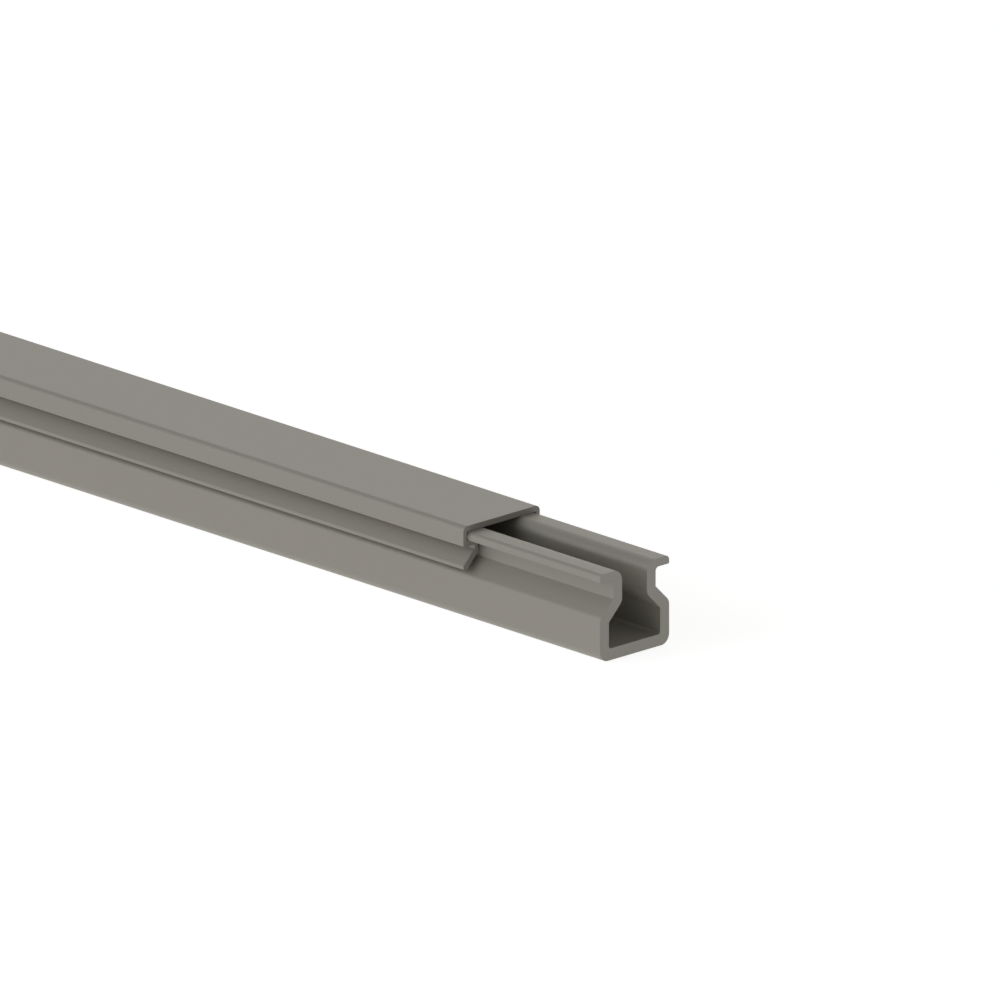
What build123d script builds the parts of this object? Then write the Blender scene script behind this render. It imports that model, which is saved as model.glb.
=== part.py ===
from build123d import *
import math
import os

# Cord cover raceway: a square mini trunking made of two plastic extrusions, a base channel that
# is fixed to a wall and a cover that snaps over the base's two flanges. The origin is at the
# centre of the base's flat back. +X runs along the length to the end that is shown open, and +Z
# points out of the wall.

# Stock length of both pieces, and how far the cover is slid back from the base's open end
length = 2000.0
cover_setback = 29.25

# Base channel: width, mouth, walls, and the straight heights of its sides and of its neck
base_width = 14.5
neck_opening = 5.2
base_wall = 1.87
neck_wall = 1.82
flange_thickness = 1.34
side_height = 6.85
neck_height = 3.03
shoulder_angle = 45.0

# Base channel: corner radii
back_corner_radius = 1.65
floor_corner_radius = 0.5
shoulder_foot_radius = 1.5
shoulder_top_radius = 0.3
chamber_corner_radius = 0.3
neck_foot_radius = 1.6
lip_radius = 1.8
flange_tip_radius = 0.72
flange_edge_radius = 0.2
flange_root_radius = 0.65

# Fixing slots along the middle of the base's floor, for 2.5 to 3 mm screws
slot_pitch = 250.0
slot_width = 3.2
slot_length = 8.0

# Cover: walls, and how far the tails' feet stay above the foot of the base's shoulders
cover_top_wall = 0.92
cover_leg_wall = 0.7
ledge_wall = 0.88
knee_wall = 0.69
tail_wall = 1.03
tail_foot_lift = 1.25

# Cover: corner radii
cover_corner_radius = 0.9
cover_inner_radius = 0.2
ledge_corner_radius = 0.35
clip_corner_radius = 0.3
knee_radius = 0.3
tail_foot_radius = 0.3

# Clearances between the cover and the base
top_play = 0.03
side_play = 0.05
ledge_play = 0.11
knee_play = 0.54
tail_gap = 0.83

# Base channel: places that follow from the sizes above, as distances from the middle and heights
base_half = base_width / 2
chamber_half = base_half - base_wall
neck_inner = neck_opening / 2
neck_outer = neck_inner + neck_wall
shoulder_top = side_height + (base_half - neck_outer) * math.tan(math.radians(shoulder_angle))
flange_underside = shoulder_top + neck_height
base_height = flange_underside + flange_thickness

# Cover: places that follow from the base's and the clearances
leg_inner = base_half + side_play
cover_half = leg_inner + cover_leg_wall
cover_underside = base_height + top_play
cover_top = cover_underside + cover_top_wall
ledge_top = flange_underside - ledge_play
ledge_underside = ledge_top - ledge_wall
knee_inner = neck_outer + knee_play
knee_outer = knee_inner + knee_wall
tail_foot = side_height + tail_foot_lift
tail_outside = tail_gap + tail_wall


def slope_height(y, clear=0.0):
    """Height, y from the middle, of a face that lies clear of the shoulder's outer face."""
    slope = math.radians(shoulder_angle)
    return side_height + (base_half - y) * math.tan(slope) + clear / math.cos(slope)


def slope_reach(z, clear=0.0):
    """Distance from the middle, at height z, of a face that lies clear of the shoulder's."""
    slope = math.radians(shoulder_angle)
    return base_half - (z - side_height - clear / math.cos(slope)) / math.tan(slope)


def draw_section(corners):
    """Closed outline through the +Y half's corners, each (y, z, radius), and their mirror images."""
    mirrored = [(-y, z, radius) for y, z, radius in reversed(corners)]
    outline = corners + mirrored
    FilletPolyline(
        *[(y, z) for y, z, radius in outline],
        radius=[radius for y, z, radius in outline],
        close=True,
    )


# From the back corner up the outside to the mouth, then down the inside to the floor
base_corners = [
    (base_half, 0, back_corner_radius),
    (base_half, side_height, shoulder_foot_radius),
    (neck_outer, shoulder_top, shoulder_top_radius),
    (neck_outer, flange_underside, flange_root_radius),
    (base_half, flange_underside, flange_edge_radius),
    (base_half, base_height, flange_tip_radius),
    (neck_inner, base_height, lip_radius),
    (neck_inner, slope_height(neck_inner, -base_wall), neck_foot_radius),
    (chamber_half, slope_height(chamber_half, -base_wall), chamber_corner_radius),
    (chamber_half, base_wall, floor_corner_radius),
]

# From the top corner down the outside to the tail's foot, then up the inside to the top
cover_corners = [
    (cover_half, cover_top, cover_corner_radius),
    (cover_half, ledge_underside, ledge_corner_radius),
    (knee_outer, ledge_underside, 0),
    (knee_outer, slope_height(knee_outer, tail_outside), knee_radius),
    (cover_half, slope_height(cover_half, tail_outside), 0),
    (cover_half, tail_foot, tail_foot_radius),
    (slope_reach(tail_foot, tail_gap), tail_foot, tail_foot_radius),
    (knee_inner, slope_height(knee_inner, tail_gap), knee_radius),
    (knee_inner, ledge_top, clip_corner_radius),
    (leg_inner, ledge_top, cover_inner_radius),
    (leg_inner, cover_underside, cover_inner_radius),
]

# Base channel: an open channel whose sides slope in to a narrow neck with a flange on each side
with BuildPart() as base_channel:
    with BuildSketch(Plane.YZ.offset(-length / 2)) as base_section:
        with BuildLine() as base_outline:
            draw_section(base_corners)
        make_face()
    extrude(amount=length)
    with BuildSketch(Plane.XY) as slots:
        with GridLocations(slot_pitch, 0, int(length / slot_pitch), 1):
            SlotOverall(slot_length, slot_width)
    extrude(amount=base_wall, mode=Mode.SUBTRACT)

# Cover: a flat top and two clip legs. Each leg has a ledge that hooks under the flange, a knee
# beside the neck and a springy tail that flares out over the shoulder, to prise the cover off.
with BuildPart() as cover:
    with BuildSketch(Plane.YZ.offset(-length / 2 - cover_setback)) as cover_section:
        with BuildLine() as cover_outline:
            draw_section(cover_corners)
        make_face()
    extrude(amount=length)

base_channel.part.label = "base_channel"
cover.part.label = "cover"

os.makedirs("parts", exist_ok=True)
export_step(base_channel.part, "parts/base_channel.step")
export_step(cover.part, "parts/cover.step")
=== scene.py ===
import math

import bmesh
import bpy
import numpy as np
from bpy.props import FloatProperty, FloatVectorProperty, IntProperty, PointerProperty
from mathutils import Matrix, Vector


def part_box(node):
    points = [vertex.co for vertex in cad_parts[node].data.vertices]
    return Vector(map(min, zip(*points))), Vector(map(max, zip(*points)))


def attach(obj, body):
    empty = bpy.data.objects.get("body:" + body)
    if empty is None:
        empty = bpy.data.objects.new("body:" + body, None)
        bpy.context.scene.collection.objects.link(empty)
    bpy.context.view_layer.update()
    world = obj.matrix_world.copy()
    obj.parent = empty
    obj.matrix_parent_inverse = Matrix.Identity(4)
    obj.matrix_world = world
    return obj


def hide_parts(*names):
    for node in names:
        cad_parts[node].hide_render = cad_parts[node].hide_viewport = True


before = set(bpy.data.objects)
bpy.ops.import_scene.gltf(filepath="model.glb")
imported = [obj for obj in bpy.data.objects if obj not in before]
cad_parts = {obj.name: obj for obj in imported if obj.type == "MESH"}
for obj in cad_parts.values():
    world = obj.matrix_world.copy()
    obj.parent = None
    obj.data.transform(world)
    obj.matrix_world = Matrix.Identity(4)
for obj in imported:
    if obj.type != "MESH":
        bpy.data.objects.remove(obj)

bl_info = {
    "name": "Cord cover raceway",
    "version": (1, 0, 0),
    "blender": (4, 5, 0),
    "location": "View3D > Sidebar > Raceway",
    "description": "Square mini trunking in stone grey PVC: base channel, clip-on cover and stage",
    "category": "Add Mesh",
}

MM = 0.001

# The two solids' corners, which the visible pieces keep to
BASE_LOW, BASE_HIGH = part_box("base_channel")
COVER_LOW, COVER_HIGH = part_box("cover")

# Points nearer to each other than this are joined, and edges that turn further than this stay sharp
WELD = 0.001 * MM
SHARP = math.radians(25)

# Mesh steps in an eighth of a turn round a slot's end, and along the slot's straight run
EIGHTH_STEPS = 4
RUN_STEPS = 8

# Lengths of mesh from one end of the cover to the other
COVER_SPANS = 8

# Rigid PVC: the skin's name, its refraction, and the lowest and highest roughness of skin and cut
SKIN = "Extruded rigid PVC, satin"
PVC_IOR = 1.53
SATIN = 0.42, 0.5
MATT = 0.65, 0.75

# Distance at which a wave texture of scale 1 repeats
WAVE_PERIOD = math.pi / 10

# Where a Mix node keeps its colour, among outputs that share one name
MIXED_COLOUR = 2

WHITE = 1.0, 1.0, 1.0, 1.0

# How far the camera sees, in metres
CLIP_END = 20.0


def linear(hex_colour):
    """The linear RGB of an sRGB hex colour such as #928E85, by the sRGB standard's curve."""
    channels = [int(hex_colour[i:i + 2], 16) / 255 for i in (1, 3, 5)]
    return tuple(c / 12.92 if c <= 0.04045 else ((c + 0.055) / 1.055) ** 2.4 for c in channels)


def length(name, default_mm, description):
    """A length property, given in millimetres and kept in metres."""
    return FloatProperty(
        name=name,
        description=description,
        default=default_mm * MM,
        min=0.0,
        precision=5,
        unit="LENGTH",
    )


def colour(name, hex_colour, description):
    """A colour property, given as sRGB hex and kept linear."""
    return FloatVectorProperty(
        name=name,
        description=description,
        default=linear(hex_colour),
        min=0.0,
        max=1.0,
        size=3,
        subtype="COLOR",
    )


def angle(name, default_degrees, description):
    """An angle property, given in degrees and kept in radians."""
    return FloatProperty(
        name=name,
        description=description,
        default=math.radians(default_degrees),
        subtype="ANGLE",
    )


def share(name, default, description):
    """A brightness as a share of white."""
    return FloatProperty(name=name, description=description, default=default, min=0.0, precision=3)


def direction(name, default, description):
    """A direction from the object, of any length."""
    return FloatVectorProperty(
        name=name,
        description=description,
        default=default,
        size=3,
        subtype="XYZ",
    )


# Settings that a user would change


class BaseChannelSizes(bpy.types.PropertyGroup):
    """Sizes of the base channel's section and of its fixing slots."""

    neck_opening: length("Neck opening", 5.2, "Clear width of the mouth")
    wall: length("Wall", 1.87, "Thickness of the floor, the sides and the shoulders")
    neck_wall: length("Neck wall", 1.82, "Thickness of the neck's upright walls")
    flange_thickness: length("Flange thickness", 1.34, "Thickness of the flanges that the cover grips")
    side_height: length("Side height", 6.85, "Height of the sides, up to the shoulders")
    shoulder_angle: angle("Shoulder angle", 45.0, "Slope of the shoulders above the horizontal")
    back_corner_radius: length("Back corner radius", 1.65, "Outer corners beside the wall")
    floor_corner_radius: length("Floor corner radius", 0.5, "Inner corners of the floor")
    shoulder_foot_radius: length("Shoulder foot radius", 1.5, "Bend from the side to the shoulder")
    shoulder_top_radius: length("Shoulder top radius", 0.3, "Bend from the shoulder to the neck")
    chamber_corner_radius: length("Chamber corner radius", 0.3, "Inner bend at the shoulder's foot")
    neck_foot_radius: length("Neck foot radius", 1.6, "Inner bend at the neck's foot")
    lip_radius: length("Lip radius", 1.8, "Round lip that cords pass on their way in")
    flange_tip_radius: length("Flange tip radius", 0.72, "Upper edge of the flange's tip")
    flange_edge_radius: length("Flange edge radius", 0.2, "Lower edge of the flange's tip")
    flange_root_radius: length("Flange root radius", 0.65, "Corner between the neck and the flange")
    slot_pitch: length("Slot pitch", 250.0, "Distance between the fixing slots")
    slot_width: length("Slot width", 3.2, "Width of a fixing slot")
    slot_length: length("Slot length", 8.0, "Length of a fixing slot, end to end")
    slot_margin: length("Slot margin", 4.0, "Floor beyond a slot's end that is meshed with it")


class CoverSizes(bpy.types.PropertyGroup):
    """Sizes of the cover's section and its clearances on the base."""

    top_wall: length("Top wall", 0.92, "Thickness of the top")
    leg_wall: length("Leg wall", 0.7, "Thickness of the upright part of a leg")
    ledge_wall: length("Ledge wall", 0.88, "Thickness of the ledge under the flange")
    knee_wall: length("Knee wall", 0.69, "Thickness of the knee beside the neck")
    tail_wall: length("Tail wall", 1.03, "Thickness of the flared tail")
    corner_radius: length("Corner radius", 0.9, "Outer corners of the top")
    inner_radius: length("Inner radius", 0.2, "Inner corners that hold the flange")
    ledge_corner_radius: length("Ledge corner radius", 0.35, "Lower outer corner of the ledge")
    clip_corner_radius: length("Clip corner radius", 0.3, "Corner that snaps under the flange")
    knee_radius: length("Knee radius", 0.3, "Bends from the knee to the tail")
    tail_foot_radius: length("Tail foot radius", 0.3, "Rounding of the tail's foot")
    ledge_play: length("Ledge play", 0.11, "Clearance between the ledge and the flange")
    knee_play: length("Knee play", 0.54, "Clearance between the knee and the neck")
    tail_gap: length("Tail gap", 0.83, "Clearance between the tail and the shoulder")


class FinishSettings(bpy.types.PropertyGroup):
    """Colours and mesh fineness that both extrusions share."""

    plastic: colour("Plastic", "#928E85", "Stone grey rigid PVC")
    shade: colour("Plastic, darker", "#8F8B82", "Faint darker clouds in the same PVC")
    # The sawn colours are paler than the skin partly from stress whitening and partly as painted light,
    # which stands in for the brighter light on the base's cut end than on the cover's
    sawn_whitened_and_lit: colour("Sawn plastic", "#9F9C93", "The same PVC, paler where a saw has cut the thick base")
    sawn_grooves_whitened_and_lit: colour("Sawn plastic, darker", "#9B988F", "Grooves that the saw leaves")
    cloud_size: length("Cloud size", 60.0, "Width of the faint clouds in the colour")
    line_width: length("Die line width", 0.35, "Distance between the faint lines that the die leaves")
    line_length: length("Die line length", 90.0, "How far a die line runs before it fades")
    line_depth: length("Die line depth", 0.002, "Depth of the die lines")
    grain_size: length("Grain size", 0.3, "Grain of the satin skin, drawn coarse enough to show")
    mark_pitch: length("Cut mark pitch", 0.35, "Distance between the marks of the saw's teeth")
    mark_depth: length("Cut mark depth", 0.004, "Depth of the marks of the saw's teeth")
    arc_steps: IntProperty(
        name="Arc steps",
        description="Mesh steps round each corner of a section",
        default=12,
        min=2,
    )


class StageSettings(bpy.types.PropertyGroup):
    """Camera and studio light."""

    azimuth: angle("Azimuth", 46.407, "Camera's turn round the object, from looking along +Y")
    elevation: angle("Elevation", 17.996, "Camera's height above the horizon")
    distance: length("Camera distance", 3000.0, "From the camera to the middle of its view")
    view_width: length("View width", 151.68, "Width of the orthographic view")
    corner_right: length(
        "Corner right of centre", 25.66, "Base's far corner at the shown end, right of the view's middle"
    )
    corner_below: length("Corner below centre", 21.68, "The same corner, below the view's middle")
    floor_size: length("Floor size", 12000.0, "Side of the square floor")
    floor_colour: colour("Floor", "#BCBCBC", "Opal sheet, which lets half of the light through")
    floor_glow: share("Floor glow", 0.605, "Light that comes up through the floor, as a share of white")
    floor_lift: share(
        "Floor lift", 0.23, "Light that the floor gives the eye alone, so that it looks white"
    )
    ambient: share("Ambient", 0.25, "Light from all round, as a share of white")
    rear_colour: colour("Rear light colour", "#FFF7E3", "Warm white")
    rear_share: share("Rear light", 0.084, "How white the rear light makes a white surface facing it")
    rear_towards: direction("Rear light direction", (-0.6, 0.72, 0.34), "Where the rear light comes from")
    side_colour: colour("Side light colour", "#FFFFFF", "Neutral white")
    side_share: share("Side light", 0.304, "How white the side light makes a white surface facing it")
    side_towards: direction("Side light direction", (-0.4, -0.85, 0.34), "Where the side light comes from")
    softness: angle("Softness", 50.0, "How wide each light looks from the object")


# Surfaces, worked out as whole arrays of points


def corner_outline(corners, steps):
    """Closed outline of a section as an (n, 2) array of (y, z).

    The corners of the +Y half, each (y, z, radius), are followed by their mirror images. Each
    corner of radius r that turns by the angle t becomes an arc that starts r * tan(t / 2) before
    the corner: its start point swings round the arc's centre by equal steps from 0 to t.
    """
    half = np.array(corners)
    corner = np.concatenate([half, half[::-1] * (-1, 1, 1)])
    point, radius = corner[:, :2], corner[:, 2]
    run_in = point - np.roll(point, 1, axis=0)
    run_in /= np.linalg.norm(run_in, axis=1, keepdims=True)
    run_out = np.roll(run_in, -1, axis=0)
    cross = run_in[:, 0] * run_out[:, 1] - run_in[:, 1] * run_out[:, 0]
    turn = np.arctan2(cross, (run_in * run_out).sum(axis=1))
    start = point - run_in * (radius * np.tan(np.abs(turn) / 2))[:, None]
    to_centre = np.stack([-run_in[:, 1], run_in[:, 0]], axis=1) * np.sign(turn)[:, None]
    centre = start + to_centre * radius[:, None]
    swing = turn[:, None] * np.linspace(0, 1, steps + 1)
    arm = (start - centre)[:, None, :]
    cosine, sine = np.cos(swing), np.sin(swing)
    arc = np.stack(
        [
            arm[..., 0] * cosine - arm[..., 1] * sine,
            arm[..., 0] * sine + arm[..., 1] * cosine,
        ],
        axis=-1,
    )
    outline = centre[:, None, :] + arc
    keep = np.ones(outline.shape[:2], dtype=bool)
    keep[radius == 0, 1:] = False
    return outline[keep]


def grid_quads(rows, columns, wrap=False):
    """Quads between neighbouring points of a grid that is stored row by row.

    Each quad joins a point, the next one in its row and the two beside them in the next row. With
    wrap, the last point of a row is joined to the first.
    """
    across = columns if wrap else columns - 1
    row, column = np.meshgrid(np.arange(rows - 1), np.arange(across), indexing="ij")
    following = (column + 1) % columns
    near, far = row * columns, (row + 1) * columns
    quads = np.stack([near + column, near + following, far + following, far + column], axis=-1)
    return quads.reshape(-1, 4)


def carried(outline, stations):
    """(points, quads) of a closed outline of (y, z) carried along X to each station."""
    x = np.repeat(stations, len(outline))
    y_z = np.tile(outline, (len(stations), 1))
    return np.column_stack([x, y_z]), grid_quads(len(stations), len(outline), wrap=True)


def repeated(points, quads):
    """(points, quads) of one patch for each row of points, with the same quads in every copy."""
    copies, count = points.shape[0], points.shape[1]
    offsets = np.arange(copies)[:, None, None] * count
    return points.reshape(-1, 3), (quads + offsets).reshape(-1, 4)


def slot_rings(sizes, half_width):
    """Outlines, as (n, 2) arrays of (x, y), of a slot and of the floor's cell round it.

    Both run the same way round with as many steps, so that a patch joins them point to point. The
    slot's unit vector turns through the right end and the left end, and between them its centre
    moves along the middle line. The cell's corners match the slot's points at 45 degrees.
    """
    radius = sizes.slot_width / 2
    reach = sizes.slot_length / 2 - radius
    eighth, run = EIGHTH_STEPS, RUN_STEPS
    turn = np.concatenate(
        [
            np.linspace(-45, 90, 3 * eighth + 1),
            np.full(run, 90.0),
            np.linspace(90, 135, eighth + 1)[1:],
        ]
    )[:-1]
    shift = np.concatenate(
        [
            np.full(3 * eighth + 1, reach),
            np.linspace(reach, -reach, run + 1)[1:],
            np.full(eighth, -reach),
        ]
    )[:-1]
    swing = np.radians(turn)
    slot = np.column_stack([shift + radius * np.cos(swing), radius * np.sin(swing)])
    cell_half = sizes.slot_length / 2 + sizes.slot_margin
    side = sheet_rows(half_width)
    top = np.linspace(cell_half, -cell_half, run + 2 * eighth + 1)[1:-1]
    cell = np.concatenate(
        [
            np.column_stack([np.full(len(side), cell_half), side]),
            np.column_stack([top, np.full(len(top), half_width)]),
        ]
    )
    return np.concatenate([slot, -slot]), np.concatenate([cell, -cell])


def sheet_rows(half_width):
    """The y of the rows of points along a sheet, at equal steps from edge to edge."""
    return np.linspace(-half_width, half_width, 2 * EIGHTH_STEPS + 1)


def slot_centres(sizes, ends):
    """The x of each fixing slot: as many as the length holds at their pitch, centred on it."""
    count = int((ends[1] - ends[0]) / sizes.slot_pitch)
    return (np.arange(count) - (count - 1) / 2) * sizes.slot_pitch + sum(ends) / 2


def sheet_stations(sizes, centres, ends):
    """Every x at which a sheet's long edge has a point, for the walls that meet it there."""
    reach = sizes.slot_length / 2 + sizes.slot_margin
    local = np.linspace(-reach, reach, RUN_STEPS + 2 * EIGHTH_STEPS + 1)
    return np.sort(np.concatenate([ends, (centres[:, None] + local).ravel()]))


def slotted_sheet(sizes, half_width, z, centres, ends):
    """(points, quads) patches of a flat sheet at height z with a slot at each centre.

    Each slot's ring patch blends from the slot's outline to its cell's, and plain spans fill the
    sheet from cell to cell. The sheet faces up.
    """
    slot, cell = slot_rings(sizes, half_width)
    ring = np.stack([slot, cell])[None] + centres[:, None, None, None] * (1, 0)
    ring = ring.reshape(len(centres), -1, 2)
    rings = np.concatenate([ring, np.full(ring.shape[:2] + (1,), z)], axis=-1)
    side = sheet_rows(half_width)
    edges = (centres[:, None] + (cell[:, 0].min(), cell[:, 0].max())).ravel()
    spans = np.concatenate([[ends[0]], edges, [ends[1]]]).reshape(-1, 2)
    x, y = np.broadcast_arrays(spans[:, :, None], side)
    span_points = np.stack([x, y, np.full(x.shape, z)], axis=-1).reshape(len(spans), -1, 3)
    return [
        repeated(rings, grid_quads(2, len(slot), wrap=True)[:, ::-1]),
        repeated(span_points, grid_quads(2, len(side))[:, ::-1]),
    ]


def slot_walls(sizes, half_width, centres):
    """(points, quads) of the walls of the slots: each slot's outline, from the back to the floor."""
    slot = slot_rings(sizes, half_width)[0]
    rim = np.concatenate([slot, slot])[None] + centres[:, None, None] * (1, 0)
    height = np.repeat((0.0, sizes.wall), len(slot))
    heights = np.broadcast_to(height[None, :, None], rim.shape[:2] + (1,))
    points = np.concatenate([rim, heights], axis=-1)
    return repeated(points, grid_quads(2, len(slot), wrap=True)[:, ::-1])


def side_walls(outline, stations):
    """(points, quads) of a carried outline without the two flat strips, its floor and its back.

    The strip of the floor follows the outline's first half, and the strip of the back its second.
    """
    points, quads = carried(outline, stations)
    count = len(outline)
    strip = np.arange(len(quads)) % count
    return points, quads[(strip != count // 2 - 1) & (strip != count - 1)]


def end_outline(sizes, outline, inside, outside):
    """The outline with the sheets' rows of points added along its floor and along its back."""
    half = len(outline) // 2
    floor_rows = sheet_rows(inside)[-2:0:-1]
    back_rows = sheet_rows(outside)[1:-1]
    return np.concatenate(
        [
            outline[:half],
            np.column_stack([floor_rows, np.full(len(floor_rows), sizes.wall)]),
            outline[half:],
            np.column_stack([back_rows, np.zeros(len(back_rows))]),
        ]
    )


def build_mesh(name, skin, cut, caps):
    """A closed mesh from patches of (points, quads) and end caps, joined where they meet.

    skin patches take the first material and cut patches the second. Each cap is a ring of points
    that becomes one flat face of the second material.
    """
    patches = skin + cut
    starts = np.cumsum([0] + [len(points) for points, quads in patches])
    quads = np.concatenate([quads + start for start, (points, quads) in zip(starts, patches)])
    cap_starts = starts[-1] + np.cumsum([0] + [len(cap) for cap in caps])
    rings = [np.arange(a, b) for a, b in zip(cap_starts, cap_starts[1:])]
    points = np.concatenate([points for points, quads in patches] + caps)
    mesh = bpy.data.meshes.new(name)
    mesh.from_pydata(points.tolist(), [], quads.tolist() + [ring.tolist() for ring in rings])
    skin_count = sum(len(quads) for points, quads in skin)
    is_cut = np.arange(len(mesh.polygons)) >= skin_count
    mesh.polygons.foreach_set("material_index", is_cut.astype(np.int32))
    work = bmesh.new()
    work.from_mesh(mesh)
    bmesh.ops.remove_doubles(work, verts=work.verts, dist=WELD)
    work.to_mesh(mesh)
    work.free()
    mesh.shade_smooth()
    mesh.set_sharp_from_angle(angle=SHARP)
    return mesh


def end_caps(outline, low, high):
    """Rings of points that close a carried outline at its low and high end, facing outwards."""
    back = np.column_stack([np.full(len(outline), low), outline[::-1]])
    front = np.column_stack([np.full(len(outline), high), outline])
    return [back, front]


def add_piece(name, mesh, materials, node, body):
    """Shows a finished mesh in place of its CAD node, on the body that it moves with."""
    for material in materials:
        mesh.materials.append(material)
    piece = bpy.data.objects.new(name, mesh)
    bpy.context.collection.objects.link(piece)
    normals = piece.modifiers.new("Flat faces stay flat", "WEIGHTED_NORMAL")
    normals.keep_sharp = True
    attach(piece, body)
    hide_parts(node)


# Sections of the two extrusions


def base_corners(sizes):
    """Corners of the base's +Y half, from the back up the outside and down the inside."""
    slope = math.tan(sizes.shoulder_angle)
    rise = sizes.wall / math.cos(sizes.shoulder_angle)
    half, top = BASE_HIGH.y, BASE_HIGH.z
    chamber = half - sizes.wall
    neck_inner = sizes.neck_opening / 2
    neck_outer = neck_inner + sizes.neck_wall
    flange_underside = top - sizes.flange_thickness
    return [
        (half, 0, sizes.back_corner_radius),
        (half, sizes.side_height, sizes.shoulder_foot_radius),
        (neck_outer, sizes.side_height + (half - neck_outer) * slope, sizes.shoulder_top_radius),
        (neck_outer, flange_underside, sizes.flange_root_radius),
        (half, flange_underside, sizes.flange_edge_radius),
        (half, top, sizes.flange_tip_radius),
        (neck_inner, top, sizes.lip_radius),
        (neck_inner, sizes.side_height + (half - neck_inner) * slope - rise, sizes.neck_foot_radius),
        (chamber, sizes.side_height + (half - chamber) * slope - rise, sizes.chamber_corner_radius),
        (chamber, sizes.wall, sizes.floor_corner_radius),
    ]


def cover_corners(sizes, base):
    """Corners of the cover's +Y half, from the top down the inside and up the outside."""
    slope, tilt = math.tan(base.shoulder_angle), math.cos(base.shoulder_angle)
    half, top = COVER_HIGH.y, COVER_HIGH.z
    foot = COVER_LOW.z
    leg_inner = half - sizes.leg_wall
    underside = top - sizes.top_wall
    ledge_top = BASE_HIGH.z - base.flange_thickness - sizes.ledge_play
    ledge_underside = ledge_top - sizes.ledge_wall
    knee_inner = base.neck_opening / 2 + base.neck_wall + sizes.knee_play
    knee_outer = knee_inner + sizes.knee_wall
    shoulder_line = base.side_height + BASE_HIGH.y * slope
    inside_line = shoulder_line + sizes.tail_gap / tilt
    outside_line = inside_line + sizes.tail_wall / tilt
    return [
        (leg_inner, underside, sizes.inner_radius),
        (leg_inner, ledge_top, sizes.inner_radius),
        (knee_inner, ledge_top, sizes.clip_corner_radius),
        (knee_inner, inside_line - knee_inner * slope, sizes.knee_radius),
        ((inside_line - foot) / slope, foot, sizes.tail_foot_radius),
        (half, foot, sizes.tail_foot_radius),
        (half, outside_line - half * slope, 0),
        (knee_outer, outside_line - knee_outer * slope, sizes.knee_radius),
        (knee_outer, ledge_underside, 0),
        (half, ledge_underside, sizes.ledge_corner_radius),
        (half, top, sizes.corner_radius),
    ]


# Finishes


def add_node(tree, kind, inputs=None, **settings):
    """Adds a node with its settings and fills its inputs, by identifier, with values or links."""
    node = tree.nodes.new(kind)
    for name, value in settings.items():
        setattr(node, name, value)
    sockets = {socket.identifier: socket for socket in node.inputs}
    for name, value in (inputs or {}).items():
        if isinstance(value, bpy.types.NodeSocket):
            tree.links.new(value, sockets[name])
        else:
            sockets[name].default_value = value
    return node


def new_tree(owner):
    """The emptied node tree of a material or a world."""
    owner.use_nodes = True
    owner.node_tree.nodes.clear()
    return owner.node_tree


def extruded_pvc(name, finish):
    """Rigid PVC, extruded through a polished die: a satin skin with hardly visible lines along it.

    Die lines are a noise stretched along X, raised by a bump. A finer grain breaks up the gloss,
    and broad clouds of a slightly darker grey lie in the colour.
    """
    material = bpy.data.materials.new(name)
    tree = new_tree(material)
    place = add_node(tree, "ShaderNodeTexCoord").outputs["Object"]
    clouds = add_node(
        tree,
        "ShaderNodeTexNoise",
        {"Vector": place, "Scale": 1 / finish.cloud_size, "Detail": 3.0},
    )
    tint = add_node(
        tree,
        "ShaderNodeMix",
        {
            "Factor_Float": clouds.outputs["Fac"],
            "A_Color": (*finish.plastic, 1.0),
            "B_Color": (*finish.shade, 1.0),
        },
        data_type="RGBA",
    )
    stretch = (1 / finish.line_length, 1 / finish.line_width, 1 / finish.line_width)
    along = add_node(tree, "ShaderNodeMapping", {"Vector": place, "Scale": stretch})
    lines = add_node(
        tree,
        "ShaderNodeTexNoise",
        {"Vector": along.outputs["Vector"], "Scale": 1.0, "Detail": 1.0},
    )
    bump = add_node(
        tree,
        "ShaderNodeBump",
        {"Height": lines.outputs["Fac"], "Distance": finish.line_depth, "Strength": 1.0},
    )
    grain = add_node(
        tree,
        "ShaderNodeTexNoise",
        {"Vector": place, "Scale": 1 / finish.grain_size, "Detail": 2.0},
    )
    gloss = add_node(
        tree,
        "ShaderNodeMapRange",
        {"Value": grain.outputs["Fac"], "To Min": SATIN[0], "To Max": SATIN[1]},
    )
    shader = add_node(
        tree,
        "ShaderNodeBsdfPrincipled",
        {
            "Base Color": tint.outputs[MIXED_COLOUR],
            "Roughness": gloss.outputs["Result"],
            "IOR": PVC_IOR,
            "Normal": bump.outputs["Normal"],
        },
    )
    add_node(tree, "ShaderNodeOutputMaterial", {"Surface": shader.outputs["BSDF"]})
    return material


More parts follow.
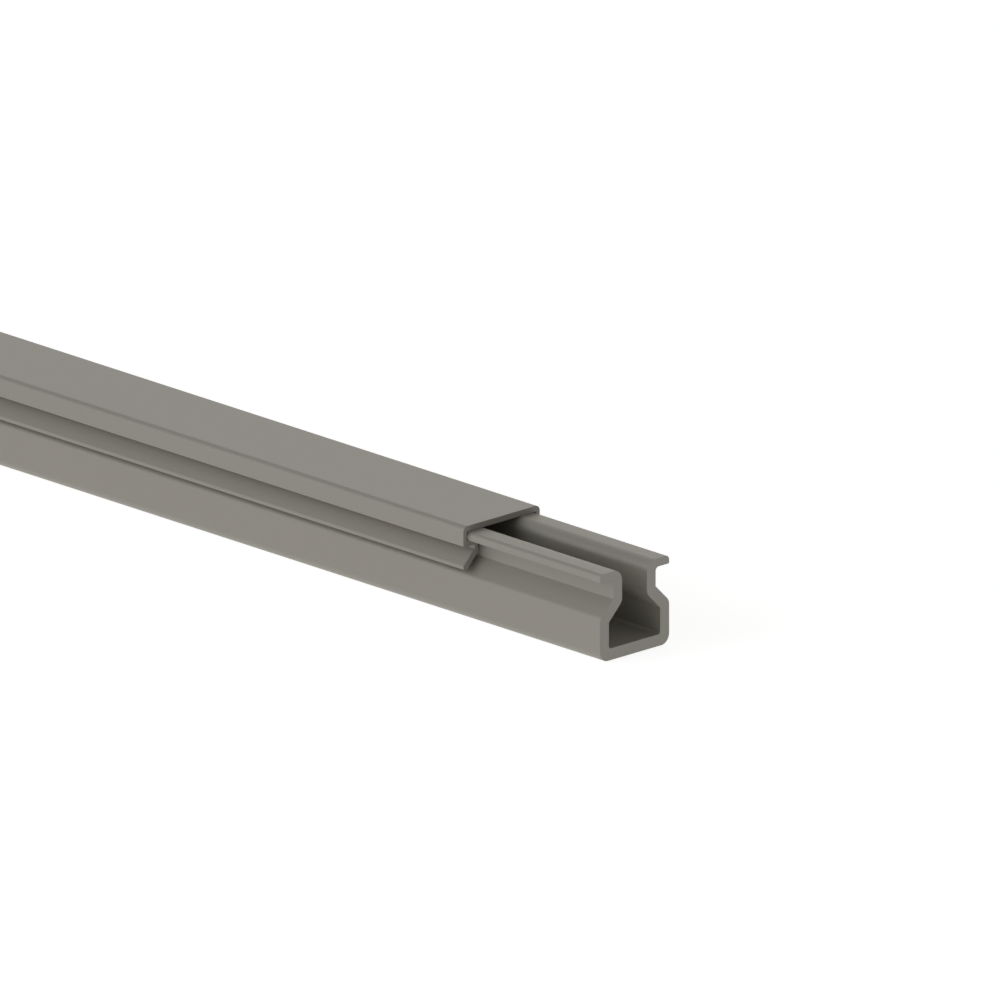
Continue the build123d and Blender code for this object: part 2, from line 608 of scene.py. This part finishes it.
def cut_pvc(name, finish, pale, dark):
    """The same PVC cut across: matt, with faint upright marks.

    The marks are bands across Y, bent a little by noise, which a bump raises and the colour follows.
    """
    material = bpy.data.materials.new(name)
    tree = new_tree(material)
    place = add_node(tree, "ShaderNodeTexCoord").outputs["Object"]
    marks = add_node(
        tree,
        "ShaderNodeTexWave",
        {
            "Vector": place,
            "Scale": WAVE_PERIOD / finish.mark_pitch,
            "Distortion": 3.0,
            "Detail": 2.0,
            "Detail Scale": 0.5,
        },
        bands_direction="Y",
    )
    tint = add_node(
        tree,
        "ShaderNodeMix",
        {
            "Factor_Float": marks.outputs["Fac"],
            "A_Color": (*dark, 1.0),
            "B_Color": (*pale, 1.0),
        },
        data_type="RGBA",
    )
    bump = add_node(
        tree,
        "ShaderNodeBump",
        {"Height": marks.outputs["Fac"], "Distance": finish.mark_depth, "Strength": 1.0},
    )
    gloss = add_node(
        tree,
        "ShaderNodeMapRange",
        {"Value": marks.outputs["Fac"], "To Min": MATT[0], "To Max": MATT[1]},
    )
    shader = add_node(
        tree,
        "ShaderNodeBsdfPrincipled",
        {
            "Base Color": tint.outputs[MIXED_COLOUR],
            "Roughness": gloss.outputs["Result"],
            "IOR": PVC_IOR,
            "Normal": bump.outputs["Normal"],
        },
    )
    add_node(tree, "ShaderNodeOutputMaterial", {"Surface": shader.outputs["BSDF"]})
    return material


def pvc_finishes(finish, end_name, end_pale, end_dark):
    """The skin that both extrusions share and a cut finish, each made the first time it is asked for."""
    skin = bpy.data.materials.get(SKIN) or extruded_pvc(SKIN, finish)
    return [skin, bpy.data.materials.get(end_name) or cut_pvc(end_name, finish, end_pale, end_dark)]


def seen_directly(tree):
    """Light Path's camera, glossy and transmission rays added up: 1 where the background is seen."""
    rays = add_node(tree, "ShaderNodeLightPath").outputs
    pair = add_node(
        tree,
        "ShaderNodeMath",
        {"Value": rays["Is Camera Ray"], "Value_001": rays["Is Glossy Ray"]},
        operation="ADD",
    )
    return add_node(
        tree,
        "ShaderNodeMath",
        {"Value": pair.outputs["Value"], "Value_001": rays["Is Transmission Ray"]},
        operation="ADD",
        use_clamp=True,
    ).outputs["Value"]


def studio_floor(name, stage):
    """Opal acrylic over a light table, which also lights the object from below.

    It takes a soft shadow, and a lift that only the eye sees turns it white.
    """
    material = bpy.data.materials.new(name)
    tree = new_tree(material)
    lift = add_node(
        tree,
        "ShaderNodeMath",
        {"Value": seen_directly(tree), "Value_001": stage.floor_lift, "Value_002": stage.floor_glow},
        operation="MULTIPLY_ADD",
    )
    shader = add_node(
        tree,
        "ShaderNodeBsdfPrincipled",
        {
            "Base Color": (*stage.floor_colour, 1.0),
            "Roughness": 1.0,
            "Specular IOR Level": 0.0,
            "Emission Color": WHITE,
            "Emission Strength": lift.outputs["Value"],
        },
    )
    add_node(tree, "ShaderNodeOutputMaterial", {"Surface": shader.outputs["BSDF"]})
    return material


# Floor, light and camera


def add_floor(stage):
    """A flat square grid at the height of the wall face."""
    half = stage.floor_size / 2
    x, y = np.meshgrid((-half, half), (-half, half), indexing="ij")
    points = np.stack([x, y, np.zeros_like(x)], axis=-1).reshape(-1, 3)
    mesh = bpy.data.meshes.new("studio_floor")
    mesh.from_pydata(points.tolist(), [], grid_quads(2, 2)[:, ::-1].tolist())
    mesh.materials.append(studio_floor("Opal acrylic, matt", stage))
    floor = bpy.data.objects.new("studio_floor", mesh)
    bpy.context.collection.objects.link(floor)


def set_world(stage):
    """White where it is seen, and a soft ambient light where it lights the object."""
    world = bpy.data.worlds.new("Soft studio")
    tree = new_tree(world)
    strength = add_node(
        tree,
        "ShaderNodeMapRange",
        {"Value": seen_directly(tree), "To Min": stage.ambient, "To Max": 1.0},
    )
    background = add_node(
        tree,
        "ShaderNodeBackground",
        {"Color": WHITE, "Strength": strength.outputs["Result"]},
    )
    add_node(tree, "ShaderNodeOutputWorld", {"Surface": background.outputs["Background"]})
    bpy.context.scene.world = world


def add_lamp(name, towards, tint, brightness, spread):
    """A soft lamp so far away that it lights the whole length evenly.

    brightness is how bright a white surface that faces it becomes, as a share of white, because
    that surface is white where the lamp's energy is pi.
    """
    data = bpy.data.lights.new(name, "SUN")
    data.color = tint
    data.energy = brightness * math.pi
    data.angle = spread
    lamp = bpy.data.objects.new(name, data)
    lamp.rotation_mode = "QUATERNION"
    lamp.rotation_quaternion = Vector(towards).to_track_quat("Z", "Y")
    bpy.context.collection.objects.link(lamp)


def add_camera(stage):
    """The photograph's view: parallel rays from the front right, 18 degrees above the horizon."""
    turn, rise = stage.azimuth, stage.elevation
    back = Vector((math.sin(turn) * math.cos(rise), -math.cos(turn) * math.cos(rise), math.sin(rise)))
    right = Vector((math.cos(turn), math.sin(turn), 0))
    up = back.cross(right)
    corner = Vector((BASE_HIGH.x, BASE_HIGH.y, BASE_LOW.z))
    middle = corner - right * stage.corner_right + up * stage.corner_below
    data = bpy.data.cameras.new("Camera")
    data.type = "ORTHO"
    data.ortho_scale = stage.view_width
    data.clip_end = CLIP_END
    camera = bpy.data.objects.new("Camera", data)
    camera.rotation_mode = "QUATERNION"
    camera.rotation_quaternion = back.to_track_quat("Z", "Y")
    camera.location = middle + back * stage.distance
    bpy.context.collection.objects.link(camera)
    bpy.context.scene.camera = camera


# Operators


class RACEWAY_OT_base_channel(bpy.types.Operator):
    """Builds the base channel: a necked section with flanges, and fixing slots in its floor"""

    bl_idname = "raceway.base_channel"
    bl_label = "Base channel"

    def execute(self, context):
        """The outline is carried along X, and slotted sheets make up its floor and its back."""
        scene = context.scene
        sizes, finish = scene.raceway_base, scene.raceway_finish
        outline = corner_outline(base_corners(sizes), finish.arc_steps)
        inside = outline[len(outline) // 2 - 1, 0]
        outside = outline[0, 0]
        ends = BASE_LOW.x, BASE_HIGH.x
        centres = slot_centres(sizes, ends)
        sides = side_walls(outline, sheet_stations(sizes, centres, ends))
        floor = slotted_sheet(sizes, inside, sizes.wall, centres, ends)
        facing_up = slotted_sheet(sizes, outside, 0.0, centres, ends)
        back = [(points, quads[:, ::-1]) for points, quads in facing_up]
        slots = slot_walls(sizes, inside, centres)
        caps = end_caps(end_outline(sizes, outline, inside, outside), *ends)
        mesh = build_mesh("base_channel", [sides] + floor + back, [slots], caps)
        # The sawn end's paler colours are partly stress whitening and partly painted light
        materials = pvc_finishes(finish, "Sawn rigid PVC, matt", finish.sawn_whitened_and_lit, finish.sawn_grooves_whitened_and_lit)
        add_piece("base_extrusion", mesh, materials, "base_channel", "base")
        return {"FINISHED"}


class RACEWAY_OT_cover(bpy.types.Operator):
    """Builds the cover: a flat top with two clip legs that snap under the base's flanges"""

    bl_idname = "raceway.cover"
    bl_label = "Cover"

    def execute(self, context):
        """The outline is carried along X from end to end. Its sheared ends keep the skin's colours."""
        scene = context.scene
        finish = scene.raceway_finish
        corners = cover_corners(scene.raceway_cover, scene.raceway_base)
        outline = corner_outline(corners, finish.arc_steps)
        ends = COVER_LOW.x, COVER_HIGH.x
        skin = carried(outline, np.linspace(*ends, COVER_SPANS + 1))
        mesh = build_mesh("cover", [skin], [], end_caps(outline, *ends))
        materials = pvc_finishes(finish, "Sheared rigid PVC, matt", finish.plastic, finish.shade)
        add_piece("cover_extrusion", mesh, materials, "cover", "cover")
        return {"FINISHED"}


class RACEWAY_OT_stage(bpy.types.Operator):
    """Sets up the floor, the soft studio light and the camera"""

    bl_idname = "raceway.stage"
    bl_label = "Stage"

    def execute(self, context):
        """Soft lamps from behind and from the left, over an even ambient light and a glowing floor."""
        stage = context.scene.raceway_stage
        add_floor(stage)
        set_world(stage)
        add_lamp(
            "Soft rear light", stage.rear_towards, stage.rear_colour, stage.rear_share, stage.softness
        )
        add_lamp(
            "Soft side light", stage.side_towards, stage.side_colour, stage.side_share, stage.softness
        )
        add_camera(stage)
        context.scene.view_settings.view_transform = "Standard"
        return {"FINISHED"}


# Panel and registration


class RACEWAY_PT_sidebar(bpy.types.Panel):
    """Lists the sizes, finishes and stage settings with the operators that use them"""

    bl_idname = "RACEWAY_PT_sidebar"
    bl_label = "Cord cover raceway"
    bl_space_type = "VIEW_3D"
    bl_region_type = "UI"
    bl_category = "Raceway"

    def draw(self, context):
        """One box for each group, with its settings and its operator's button."""
        for group_name, title, group, operator in GROUPS:
            box = self.layout.box()
            box.label(text=title)
            for name in group.__annotations__:
                box.prop(getattr(context.scene, group_name), name)
            if operator:
                box.operator(operator.bl_idname)


# The scene's property, the title, the settings and the operator of each group
GROUPS = (
    ("raceway_finish", "Finish", FinishSettings, None),
    ("raceway_base", "Base channel", BaseChannelSizes, RACEWAY_OT_base_channel),
    ("raceway_cover", "Cover", CoverSizes, RACEWAY_OT_cover),
    ("raceway_stage", "Stage", StageSettings, RACEWAY_OT_stage),
)
CLASSES = tuple(group[2] for group in GROUPS) + (
    RACEWAY_OT_base_channel,
    RACEWAY_OT_cover,
    RACEWAY_OT_stage,
    RACEWAY_PT_sidebar,
)


def register():
    """Registers the classes and hangs each group of settings on the scene."""
    for cls in CLASSES:
        bpy.utils.register_class(cls)
    for group_name, _, group, _ in GROUPS:
        setattr(bpy.types.Scene, group_name, PointerProperty(type=group))


def unregister():
    """Takes the settings off the scene and unregisters the classes."""
    for group_name, *_ in GROUPS:
        delattr(bpy.types.Scene, group_name)
    for cls in reversed(CLASSES):
        bpy.utils.unregister_class(cls)


def main():
    """Builds the pieces and the stage."""
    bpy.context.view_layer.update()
    register()
    bpy.ops.raceway.base_channel()
    bpy.ops.raceway.cover()
    bpy.ops.raceway.stage()


if __name__ == "__main__":
    main()
